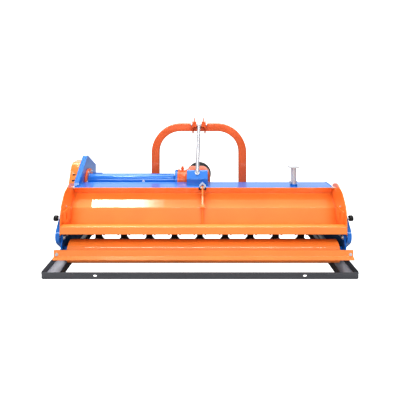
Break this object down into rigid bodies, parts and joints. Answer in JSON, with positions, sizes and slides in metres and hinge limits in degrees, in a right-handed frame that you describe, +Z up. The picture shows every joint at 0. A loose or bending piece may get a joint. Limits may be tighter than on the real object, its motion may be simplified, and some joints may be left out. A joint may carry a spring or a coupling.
{
  "type": "tractor-mounted flail mulcher on its shipping frame",
  "caption": "Flail mulcher with a three-point hitch, orange rear hood and blue housing, standing on its black steel shipping frame.",
  "frame": {"origin": "on the floor, at the middle of the rectangular shipping frame", "axes": "+X to the right seen from behind and along the rotor, +Y forwards to the tractor, +Z up"},
  "size_m": [1.96, 0.98, 0.937],
  "materials": {
    "orange_paint": "glossy",
    "red_orange_paint": "glossy",
    "blue_paint": "glossy",
    "grey_paint": "satin",
    "black_steel": "satin",
    "rotor_steel": "satin",
    "zinc": "zinc plated",
    "bare_steel": "machined",
    "black_plastic": "satin",
    "bearing_iron": "painted"
  },
  "bodies": {
    "mulcher": {"shipping_bar_rear": "black_steel", "shipping_bar_front": "black_steel", "shipping_channel_left": "black_steel", "shipping_channel_right": "black_steel", "deck": "blue_paint", "side_plate_left": "blue_paint", "side_plate_right": "blue_paint", "skids": "black_steel", "front_flaps": "rotor_steel", "rotor_bearing_right": "bearing_iron", "roller_bearings": "blue_paint", "rear_guard": "orange_paint", "guard_brackets": "blue_paint", "hood_hinge_pins": "zinc", "hood_centre_hinge": "zinc", "belt_backplate": "blue_paint", "belt_guard": "orange_paint", "shaft_tube": "blue_paint", "shaft_tube_ring": "red_orange_paint", "gearbox": "red_orange_paint", "gearbox_pad": "blue_paint", "gearbox_collar": "blue_paint", "pto_shield": "black_plastic", "hitch_hoop": "red_orange_paint", "brace_saddle": "red_orange_paint", "top_link_ears": "red_orange_paint", "lower_hitch_plates": "red_orange_paint", "lower_link_pins": "zinc", "brace_bracket": "blue_paint", "brace_strut": "zinc", "brace_pin": "zinc", "stand_socket": "blue_paint"},
    "hood": {"hood_skin": "orange_paint", "hood_cheek_left": "orange_paint", "hood_cheek_right": "orange_paint", "hood_rib": "orange_paint", "hood_lock_brackets": "orange_paint", "hood_lock_knobs": "black_plastic"},
    "rotor": {"rotor_drum": "rotor_steel", "rotor_flails": "rotor_steel"},
    "roller_body": {"roller": "orange_paint"},
    "input_shaft": {"pto_stub": "bare_steel"},
    "stand": {"stand_leg": "zinc"}
  },
  "joints": [
    {"name": "hood_hinge", "type": "hinge", "parent": "mulcher", "child": "hood", "pos_m": [0.022, -0.222, 0.49], "axis": [-1, 0, 0], "range_deg": [0, 80]},
    {"name": "rotor_turn", "type": "hinge", "parent": "mulcher", "child": "rotor", "pos_m": [0.022, -0.08, 0.237], "axis": [1, 0, 0], "continuous": true},
    {"name": "roller_turn", "type": "hinge", "parent": "mulcher", "child": "roller_body", "pos_m": [0.022, -0.372, 0.122], "axis": [1, 0, 0], "continuous": true},
    {"name": "pto_turn", "type": "hinge", "parent": "mulcher", "child": "input_shaft", "pos_m": [-0.008, 0.2, 0.47], "axis": [0, 1, 0], "continuous": true},
    {"name": "stand_lift", "type": "slide", "parent": "mulcher", "child": "stand", "axis": [0, 0, 1], "range_m": [0, 0.05]}
  ],
  "couplings": [
    {"joint": "pto_turn", "follows": "rotor_turn", "ratio": 0.25}
  ]
}
